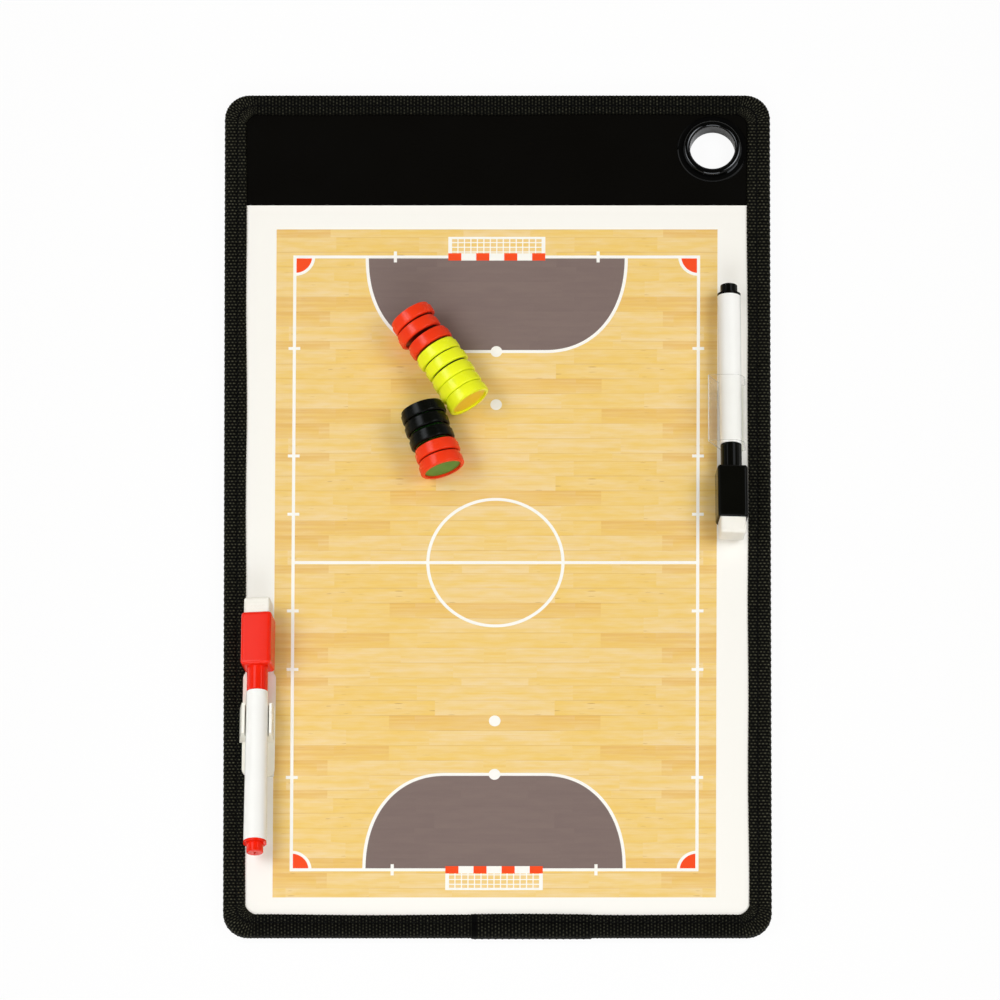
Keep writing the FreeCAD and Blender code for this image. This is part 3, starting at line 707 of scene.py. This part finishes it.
# %% Binding mesh
per_ring, count = len(outer), len(points)
spots = np.arange(per_ring)
after = (spots + 1) % per_ring
faces = []
for line in range(count):
    low, high = line * per_ring, (line + 1) % count * per_ring
    faces += np.column_stack((low + spots, low + after, high + after, high + spots)).tolist()
binding = piece("woven_binding", np.concatenate(points), faces, "board")
faces_out(binding)
for name, values in (("tape_along", np.tile(along_tape, count)),
                     ("tape_across", np.repeat(across_tape, per_ring))):
    marks = binding.data.attributes.new(name, "FLOAT", "POINT")
    marks.data.foreach_set("value", values.astype(np.float32))
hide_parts("edge_binding")
print(len(faces), "faces in the binding")

# %% [markdown]
# ### Thread in the seam
#
# A lockstitch holds the tape on: short bars of thread in the valley of the seam, on the
# face and on the back. Each is a thin six-sided bar that dips into the tape at both ends.

# %% Stitches
STITCH_PITCH = 3.1
STITCH_LENGTH = 2.3
THREAD_RADIUS = 0.2
THREAD_SIDES = 6
STITCH_SHAPE = ((0, 0.22, 0.45), (0.2, 0.03, 1), (0.5, 0, 1), (0.8, 0.03, 1), (1, 0.22, 0.45))


def stitch_points(begin, end, level, up):
    """A bar of thread between two points, sunk at its ends."""
    along = np.append(end - begin, 0.0)
    along = along / np.linalg.norm(along)
    aside = np.array((-along[1], along[0], 0.0))
    found = []
    for share, sink, swell in STITCH_SHAPE:
        middle = np.append(begin + (end - begin) * share, level - up * sink)
        for angle in np.arange(THREAD_SIDES) * 2 * math.pi / THREAD_SIDES:
            way = math.cos(angle) * aside + np.array((0, 0, math.sin(angle)))
            found.append(middle + THREAD_RADIUS * swell * way)
    return found


seam = outer + inward * SEAM
lengths = np.linalg.norm(np.roll(seam, -1, axis=0) - seam, axis=1)
walked = np.concatenate(((0.0,), np.cumsum(lengths)))
closed = np.vstack((seam, seam[:1]))


def seam_point(way):
    return np.array([np.interp(way, walked, closed[:, axis]) for axis in (0, 1)])


points, faces = [], []
for level, up in ((LIP_TOP - SEAM_DEPTH, 1), (SEAM_DEPTH, -1)):
    for way in np.arange(1.0, walked[-1] - STITCH_PITCH, STITCH_PITCH):
        first = len(points)
        points += stitch_points(seam_point(way), seam_point(way + STITCH_LENGTH), level, up)
        last = len(points) - THREAD_SIDES
        for low in range(first, last, THREAD_SIDES):
            high = low + THREAD_SIDES
            for side in range(THREAD_SIDES):
                after = (side + 1) % THREAD_SIDES
                faces.append((low + side, low + after, high + after, high + side))
        faces.append(tuple(range(first + THREAD_SIDES - 1, first - 1, -1)))
        faces.append(tuple(range(last, len(points))))
stitches = piece("binding_stitches", points, faces, "board")
faces_out(stitches)
print(len(faces), "faces of thread")

# %% Webbing finish
SEAM_ACROSS = across_tape[2] + (float(lip.mean()) - EDGE_ROUND - SEAM)
# Widths of painted shade: across the seam's groove, and along the start of the lapped end.
SEAM_DARK = 0.36
LAP_SHADE = 2.0
LONG_SIDES = 112.0
WANDER = 0.86
WEB_DARK = srgb(3, 3, 2)
# A painted sheen: the colour the knot tops take where the lamps shine on them.
WEB_SHEEN = srgb(87, 86, 70)

webbing = new_finish("black_webbing", Specular_IOR_Level=0.05)
here = webbing.place()
tape_along = webbing.add("Attribute", {"attribute_name": "tape_along"}, {}, "Fac")
tape_across = webbing.add("Attribute", {"attribute_name": "tape_across"}, {}, "Fac")
ribs = (tape_along * (2 * math.pi / ROW)).cosine() * 0.5 + 0.5
wander = webbing.noise(here, 260.0, 1.0) * WANDER
across_wave = ((tape_across + wander) * (2 * math.pi / KNOT)).cosine()
stagger = (tape_along * (math.pi / ROW)).cosine() * across_wave
knots = ribs ** 2.2 * (stagger * 0.5 + 0.5) ** 1.1
strands = webbing.noise(here, 2300.0, 2.0)
patches = webbing.noise(here, 620.0, 2.0)
worn = webbing.add("MapRange", {}, {"Value": patches, "From Min": 0.36, "From Max": 0.66})
# Painted glint: the long sides of the binding are lighter, as the side lamps shine along their
# fibres.
side_glint = abs(webbing.axes(here)[0]) > LONG_SIDES * MM
# Painted shade: darker in the groove of the seam and at the step where the lapped end starts.
seam_and_lap_shade = (abs(tape_across - SEAM_ACROSS) < SEAM_DARK) * 0.9 | (tape_along < LAP_SHADE)
# Share of painted sheen on the knot tops, mixed with random worn patches, the painted glint of
# the long sides and the painted shade of the seam and the lapped end.
sheen_shade_and_wear = knots * strands * (worn * 1.5 + 0.7) * (side_glint * 0.42 + 0.53) * (1 - seam_and_lap_shade)
webbing.join(webbing.shader, {
    "Base Color": webbing.blend(sheen_shade_and_wear, WEB_DARK, WEB_SHEEN),
    "Roughness": strands * 0.25 + 0.5,
    "Normal": webbing.bump(knots + strands * 0.3, 0.25, 0.5),
})
wear(webbing, "woven_binding")

thread = new_finish("black_thread", Specular_IOR_Level=0.1)
here = thread.place()
twist = thread.noise(thread.stretched(here, (3.0, 3.0, 1.0)), 1500.0, 1.0)
thread.join(thread.shader, {
    "Base Color": thread.blend(twist, srgb(4, 4, 4), srgb(20, 19, 17)),
    "Roughness": twist * 0.3 + 0.5,
    "Normal": thread.bump(twist, 0.05, 0.6),
})
wear(thread, "binding_stitches")
print("webbing and thread finished")

# %% [markdown]
# ## Moulded plastics
#
# Markers, pucks, clip and eyelet are injection moulded. Moulded plastic is never one flat
# colour: the melt leaves faint clouds, handling dulls patches of the gloss, and the mould
# leaves a very fine pebble. One recipe makes all of these, with its own colour and gloss.


# %% Plastic recipe
def moulded(name, colour, deeper, gloss, pebble, shine, dulling):
    """Plastic whose colour drifts a little, with a dulled gloss and a fine pebble."""
    finish = new_finish(name, Specular_IOR_Level=shine)
    here = finish.place()
    clouds = finish.noise(here, 90.0, 2.0)
    handling = finish.noise(here, 240.0, 3.0, 0.6)
    grit = finish.noise(here, 1800.0, 2.0)
    finish.join(finish.shader, {
        "Base Color": finish.blend(clouds, colour, deeper),
        "Roughness": handling * dulling + gloss,
        "Normal": finish.bump(grit, pebble, 0.4),
    })
    return finish


print("plastic recipe ready")

# %% Plastics
# Each has a colour, a deeper colour, a gloss, a pebble in millimetres, a shine and a dulling.
PLASTICS = {
    "eyelet_black": (srgb(8, 8, 7), srgb(5, 5, 5), 0.02, 0.001, 0.6, 0.04),
    "clip_white": (srgb(255, 253, 243), srgb(253, 251, 240), 0.2, 0.004, 0.3, 0.12),
    "barrel_white": (srgb(253, 253, 250), srgb(249, 249, 246), 0.12, 0.002, 0.3, 0.12),
    "marker_red": (srgb(246, 40, 16), srgb(240, 36, 13), 0.05, 0.002, 0.28, 0.06),
    "marker_black": (srgb(12, 12, 9), srgb(9, 9, 6), 0.06, 0.002, 0.13, 0.06),
    "puck_red": (srgb(251, 66, 27), srgb(244, 56, 22), 0.2, 0.008, 0.2, 0.12),
    "puck_yellow": (srgb(250, 255, 42), srgb(242, 251, 30), 0.2, 0.008, 0.25, 0.12),
    "puck_black": (srgb(13, 14, 10), srgb(8, 9, 6), 0.2, 0.008, 0.12, 0.12),
}
plastics = {name: moulded(name, *values) for name, values in PLASTICS.items()}
wear(plastics["eyelet_black"], "eyelet", "eyelet_washer")
wear(plastics["clip_white"], "pen_clip")
for colour in ("red", "black"):
    wear(plastics["barrel_white"], f"{colour}_pen_barrel", f"{colour}_pen_nib_holder")
    wear(plastics[f"marker_{colour}"], f"{colour}_cap_shell", f"{colour}_pen_end_plug")
shells = sorted(name for name in nodes if "_puck_" in name and name.endswith("_shell"))
for name in shells:
    colour = name.split("_")[0]
    wear(plastics[f"puck_{colour}"], name)
print(len(shells), "puck shells coloured")

# %% [markdown]
# ## Labels on the pucks
#
# Each puck has a plain round domed sticker in the seat on its front, in one of four
# colours. A disc could be laid on as a flat cut-out, but the dome catches the light at its
# rim. The seat's place comes from the puck's own solid: the front is its furthest point
# along the row, and its middle is half way across.

# %% Label discs
LABEL_RADIUS = 8.5
SEAT_DEPTH = 0.9
DOME = ((0.0, 0.3), (3.0, 0.29), (5.5, 0.26), (7.4, 0.2), (8.1, 0.14), (8.4, 0.07),
        (LABEL_RADIUS, 0.0))
SEGMENTS = 48
ROW_TURNS = {"upper": math.radians(-57.4), "lower": math.radians(-72.0)}
LOWER_ROW = ("black_puck_1", "black_puck_2", "black_puck_3", "red_puck_4", "red_puck_5")


def puck_seat(name):
    """Middle of the label's seat and the way that it faces, in millimetres."""
    turn = ROW_TURNS["lower" if name in LOWER_ROW else "upper"]
    ahead = np.array((math.cos(turn), math.sin(turn), 0.0))
    aside = np.array((-ahead[1], ahead[0], 0.0))
    spots = np.array([v.co for v in nodes[f"{name}_shell"].data.vertices]) / MM
    reach = spots @ ahead
    wide = spots @ aside
    level = (spots[:, 2].min() + spots[:, 2].max()) / 2
    middle = ahead * (reach.max() - SEAT_DEPTH) + aside * (wide.min() + wide.max()) / 2
    return middle + np.array((0.0, 0.0, level)), ahead, aside


def label(name):
    """A thin domed disc on the seat of one puck."""
    middle, ahead, aside = puck_seat(name)
    up = np.array((0.0, 0.0, 1.0))
    points = [middle + ahead * DOME[0][1]]
    for radius, swell in DOME[1:]:
        for turn in np.arange(SEGMENTS) * 2 * math.pi / SEGMENTS:
            way = math.cos(turn) * aside + math.sin(turn) * up
            points.append(middle + ahead * swell + radius * way)
    points.append(middle)
    faces = []
    last = 1 + (len(DOME) - 2) * SEGMENTS
    for spot in range(SEGMENTS):
        after = (spot + 1) % SEGMENTS
        faces.append((0, 1 + spot, 1 + after))
        for low in range(1, last, SEGMENTS):
            high = low + SEGMENTS
            faces.append((low + spot, high + spot, high + after, low + after))
        faces.append((last + spot, len(points) - 1, last + after))
    made = piece(f"{name}_label", points, faces, name)
    faces_out(made)
    return made.name


pucks = [name[: -len("_shell")] for name in shells]
labels = [label(name) for name in pucks]
print(len(labels), "labels")

# %% Label finishes


def sticker(name, colour, deeper):
    """Printed vinyl under a clear dome: an even ink with a faint screen of dots."""
    finish = new_finish(name, Specular_IOR_Level=0.3, Coat_Weight=0.2, Coat_Roughness=0.08)
    here = finish.place()
    clouds = finish.noise(here, 160.0, 3.0)
    screen = finish.add("TexVoronoi", {}, {"Vector": here, "Scale": 2400.0})
    finish.join(finish.shader, {
        "Base Color": finish.blend(clouds * 0.7 + screen * 0.2, colour, deeper),
        "Roughness": clouds * 0.15 + 0.3,
        "Normal": finish.bump(clouds, 0.02, 0.3),
    })
    return finish


LABELS = {
    "green": sticker("label_green", srgb(80, 162, 58), srgb(34, 112, 36)),
    "orange": sticker("label_orange", srgb(255, 218, 36), srgb(248, 202, 20)),
    # The teal and dark red stickers sit in the narrow gaps between pucks. Their colours are
    # partly painted shade, darker than the stickers would be in the light.
    "teal": sticker("label_teal", srgb(18, 84, 88), srgb(10, 58, 62)),
    "red": sticker("label_red", srgb(150, 28, 14), srgb(120, 18, 8)),
}
LABEL_COLOURS = {"black": "green", "red": "red", "yellow": "teal"}
FRONT_LABELS = {"red_puck_5": "green", "yellow_puck_5": "orange"}
for name in pucks:
    colour = FRONT_LABELS.get(name, LABEL_COLOURS[name.split("_")[0]])
    wear(LABELS[colour], f"{name}_label")
print("labels finished")

# %% [markdown]
# ## Felt and foam
#
# The caps end in a block of pressed white felt, and the clip sits on foam tape. Both are
# soft, so their solids are replaced by blocks with rounded edges whose surface wanders a
# little. A cube is cut into a fine grid, its edges are rounded by pushing every point out
# from a smaller cube, and a sum of sines lifts the surface as matted fibres do.

# %% Soft block maker
MATTING_PACE = 2.1


def soft_block(name, body, middle, half, rounding, cuts, matting, turn=np.eye(3)):
    """A rounded block of soft stuff, turned as its pen is."""
    shape = bmesh.new()
    bmesh.ops.create_cube(shape, size=2.0)
    bmesh.ops.subdivide_edges(shape, edges=shape.edges, cuts=cuts, use_grid_fill=True)
    half = np.asarray(half)
    core = half - rounding
    for vertex in shape.verts:
        rough = np.array(vertex.co) * half
        held = np.clip(rough, -core, core)
        way = rough - held
        reach = np.linalg.norm(way)
        way = way / reach if reach > 1e-9 else way
        x, y, z = held * MATTING_PACE
        wander = math.sin(x + 1.7 * y) * math.sin(1.3 * z - x)
        wander += 0.6 * math.sin(2.9 * y + 2.3 * z + x)
        spot = held + way * (rounding - matting * (0.8 + 0.5 * wander))
        vertex.co = (turn @ spot + middle) * MM
    mesh = bpy.data.meshes.new(name)
    shape.to_mesh(mesh)
    shape.free()
    mesh.polygons.foreach_set("use_smooth", [True] * len(mesh.polygons))
    made = bpy.data.objects.new(name, mesh)
    bpy.context.scene.collection.objects.link(made)
    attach(made, body)
    return made


print("soft block maker ready")

# %% Felt and foam blocks
FELT_HALF = (6.05, 5.25, 5.8)
FELT_ROUND, FELT_CUTS, FELT_MATTING = 1.4, 23, 0.12
FOAM_ROUND, FOAM_CUTS, FOAM_MATTING = 0.25, 31, 0.02
PEN_TURNS = {"red": (-0.75, -9.5), "black": (0.65, 6.0)}

for colour, (lean, roll) in PEN_TURNS.items():
    leaning = Matrix.Rotation(math.radians(lean), 3, "Z")
    turn = leaning @ Matrix.Rotation(math.radians(roll), 3, "Y")
    low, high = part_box(f"{colour}_cap_eraser")
    middle = np.array((low + high) / 2) / MM
    felt_block = soft_block(f"{colour}_felt_eraser", f"{colour}_cap", middle, FELT_HALF,
                            FELT_ROUND, FELT_CUTS, FELT_MATTING, np.array(turn))
    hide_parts(f"{colour}_cap_eraser")

low, high = (np.array(corner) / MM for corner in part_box("clip_foam_tape"))
foam_block = soft_block("clip_foam_pad", "board", (low + high) / 2, (high - low) / 2,
                        FOAM_ROUND, FOAM_CUTS, FOAM_MATTING)
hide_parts("clip_foam_tape")
print("felt and foam made")

# %% Felt and foam finishes
FELT_PALE = srgb(255, 252, 244)
FELT_SHADE = srgb(243, 240, 230)

felt = new_finish("white_felt", Specular_IOR_Level=0.15, Sheen_Weight=0.5, Sheen_Roughness=0.5)
here = felt.place()
fibres = felt.noise(felt.stretched(here, (1.0, 2.2, 1.0)), 1900.0, 4.0, 0.7)
matted = felt.noise(here, 420.0, 2.0)
felt.join(felt.shader, {
    "Base Color": felt.blend(fibres * 0.6 + matted * 0.4, FELT_PALE, FELT_SHADE),
    "Roughness": matted * 0.1 + 0.88,
    "Normal": felt.bump(fibres, 0.16, 0.8),
})
wear(felt, "red_felt_eraser", "black_felt_eraser")

foam = new_finish("foam_tape_white", Specular_IOR_Level=0.2)
here = foam.place()
pores = foam.add("TexVoronoi", {}, {"Vector": here, "Scale": 2200.0})
foam.join(foam.shader, {
    "Base Color": foam.blend(pores, srgb(214, 214, 210), srgb(240, 240, 237)),
    "Roughness": pores * 0.2 + 0.7,
    "Normal": foam.bump(pores, 0.1, 0.7),
})
wear(foam, "clip_foam_pad")
print("felt and foam finished")

# %% [markdown]
# ## The clear loop
#
# The black marker sits in a sleeve of clear vinyl. Glass would bend the light as a solid
# block does, but a thin film mostly lets it straight through and shines at its bends. So
# it is a mix: clear straight through, a gloss that grows at glancing angles, and a little
# milky haze. On the cut edges and in the fold beside the marker, a share of opaque white
# is a painted highlight, where the film catches the light.

# %% Clear vinyl
FOLD_LINE = 0.55
WING = 4.5
CLEAR = (0.998, 0.998, 0.994, 1.0)
# The wing beside the marker lets a little less light through than the rest of the film.
WING_THROUGH = (0.985, 0.975, 0.965, 1.0)

vinyl = new_finish("clear_vinyl", Base_Color=srgb(246, 248, 248), Specular_IOR_Level=0.5)
here = vinyl.place()
cloud = vinyl.noise(here, 120.0, 2.0)
dents = vinyl.noise(here, 190.0, 1.0)
facing = vinyl.axes(vinyl.add("NewGeometry", {}, {}, "Normal"))
cut_edge = abs(facing[1]) > 0.9
wing_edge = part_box("pen_loop")[0][0]
aside = vinyl.axes(here)[0] - wing_edge
fold = aside < FOLD_LINE * MM
wing = aside < WING * MM
waves = vinyl.bump(dents, 0.12, 0.5)
vinyl.join(vinyl.shader, {"Roughness": cloud * 0.2 + 0.3, "Normal": waves})
clear_film = vinyl.add("BsdfTransparent", {}, {"Color": CLEAR})
wing_through = vinyl.add("BsdfTransparent", {}, {"Color": WING_THROUGH})
through = vinyl.add("MixShader", {}, {0: wing, 1: clear_film, 2: wing_through})
# Painted highlight: the cut edges and the fold beside the marker turn partly opaque white.
# Elsewhere the share is a faint haze.
glint_and_haze = cut_edge * 0.25 + fold * 0.55 + wing * 0.03 + cloud * 0.01
white_glint_and_haze = Wire(vinyl, vinyl.shader.outputs[0])
film_glint_and_haze = vinyl.add("MixShader", {}, {0: glint_and_haze, 1: through, 2: white_glint_and_haze})
shine = vinyl.add("BsdfAnisotropic", {}, {"Color": WHITE, "Roughness": 0.12, "Normal": waves})
glance = vinyl.add("Fresnel", {}, {"IOR": 1.4, "Normal": waves})
film = vinyl.add("MixShader", {}, {0: glance * 0.12, 1: film_glint_and_haze, 2: shine})
vinyl.join(vinyl.tree.nodes["Material Output"], {"Surface": film})
wear(vinyl, "pen_loop")
print("clear loop finished")

# %% [markdown]
# ## The adhesive under the loop
#
# The loop stands on a milky strip of adhesive. The strip's top and the film's underside
# touch, and a ray that goes through the film can miss a face that lies exactly on it. A
# displace modifier draws the strip in by a hair, so that the ray meets it.

# %% Milky adhesive
TAPE_SHRINK = 0.02

adhesive = new_finish("milky_adhesive", Specular_IOR_Level=0.3)
bubbles = adhesive.noise(adhesive.place(), 700.0, 2.0)
adhesive.join(adhesive.shader, {
    "Base Color": adhesive.blend(bubbles, srgb(240, 240, 224), srgb(250, 250, 238)),
    "Roughness": bubbles * 0.3 + 0.3,
    "Normal": adhesive.bump(bubbles, 0.03, 0.4),
})
wear(adhesive, "loop_tape")
shrink = nodes["loop_tape"].modifiers.new("shrink", "DISPLACE")
shrink.strength = -TAPE_SHRINK * MM
shrink.mid_level = 0.0
print("adhesive drawn in by", TAPE_SHRINK, "mm")

# %% [markdown]
# ## Inside and behind
#
# What hides in the sandwich and in the markers still shows when a cap comes off or the
# board is turned over: grained vinyl on the back, hardboard, steel, ferrite magnets and
# the ink-soaked fibre of nib and reservoir. Each gets its own grain.


# %% Grained stuffs
def grained(name, colour, deeper, scales, scale, roughness, depth, **plain):
    """A stuff with one stretched grain that drives its colour, its gloss and its relief."""
    finish = new_finish(name, **plain)
    grain = finish.noise(finish.stretched(finish.place(), scales), scale, 4.0, 0.6)
    finish.join(finish.shader, {
        "Base Color": finish.blend(grain, colour, deeper),
        "Roughness": grain * 0.2 + roughness,
        "Normal": finish.bump(grain, depth, 0.6),
    })
    return finish


print("grain recipe ready")

# %% Hidden finishes
INKS = {
    "red": (srgb(196, 28, 24), srgb(150, 14, 14)),
    "black": (srgb(26, 26, 28), srgb(12, 12, 14)),
}

back_vinyl = grained("back_vinyl", srgb(30, 30, 30), srgb(16, 16, 16), (1, 1, 1),
                     900.0, 0.45, 0.08)
wear(back_vinyl, "back_sheet")
hardboard = grained("hardboard", srgb(138, 104, 72), srgb(96, 68, 44), (1, 1, 4),
                    500.0, 0.7, 0.1)
wear(hardboard, "core_board")
steel = grained("sheet_steel", srgb(190, 192, 196), srgb(150, 152, 156), (0.05, 1, 1),
                1500.0, 0.25, 0.01, Metallic=1.0)
wear(steel, "steel_sheet")
ferrite = grained("ferrite", srgb(62, 60, 58), srgb(40, 39, 38), (1, 1, 1),
                  1300.0, 0.5, 0.04, Metallic=0.3)
magnets = sorted(name for name in nodes if name.endswith("_magnet"))
wear(ferrite, *magnets)
for colour, inks in INKS.items():
    fibre = grained(f"ink_fibre_{colour}", *inks, (1, 0.08, 1), 2600.0, 0.7, 0.08)
    wear(fibre, f"{colour}_pen_ink_reservoir", f"{colour}_pen_nib")
print(len(magnets), "magnets and the hidden sheets finished")
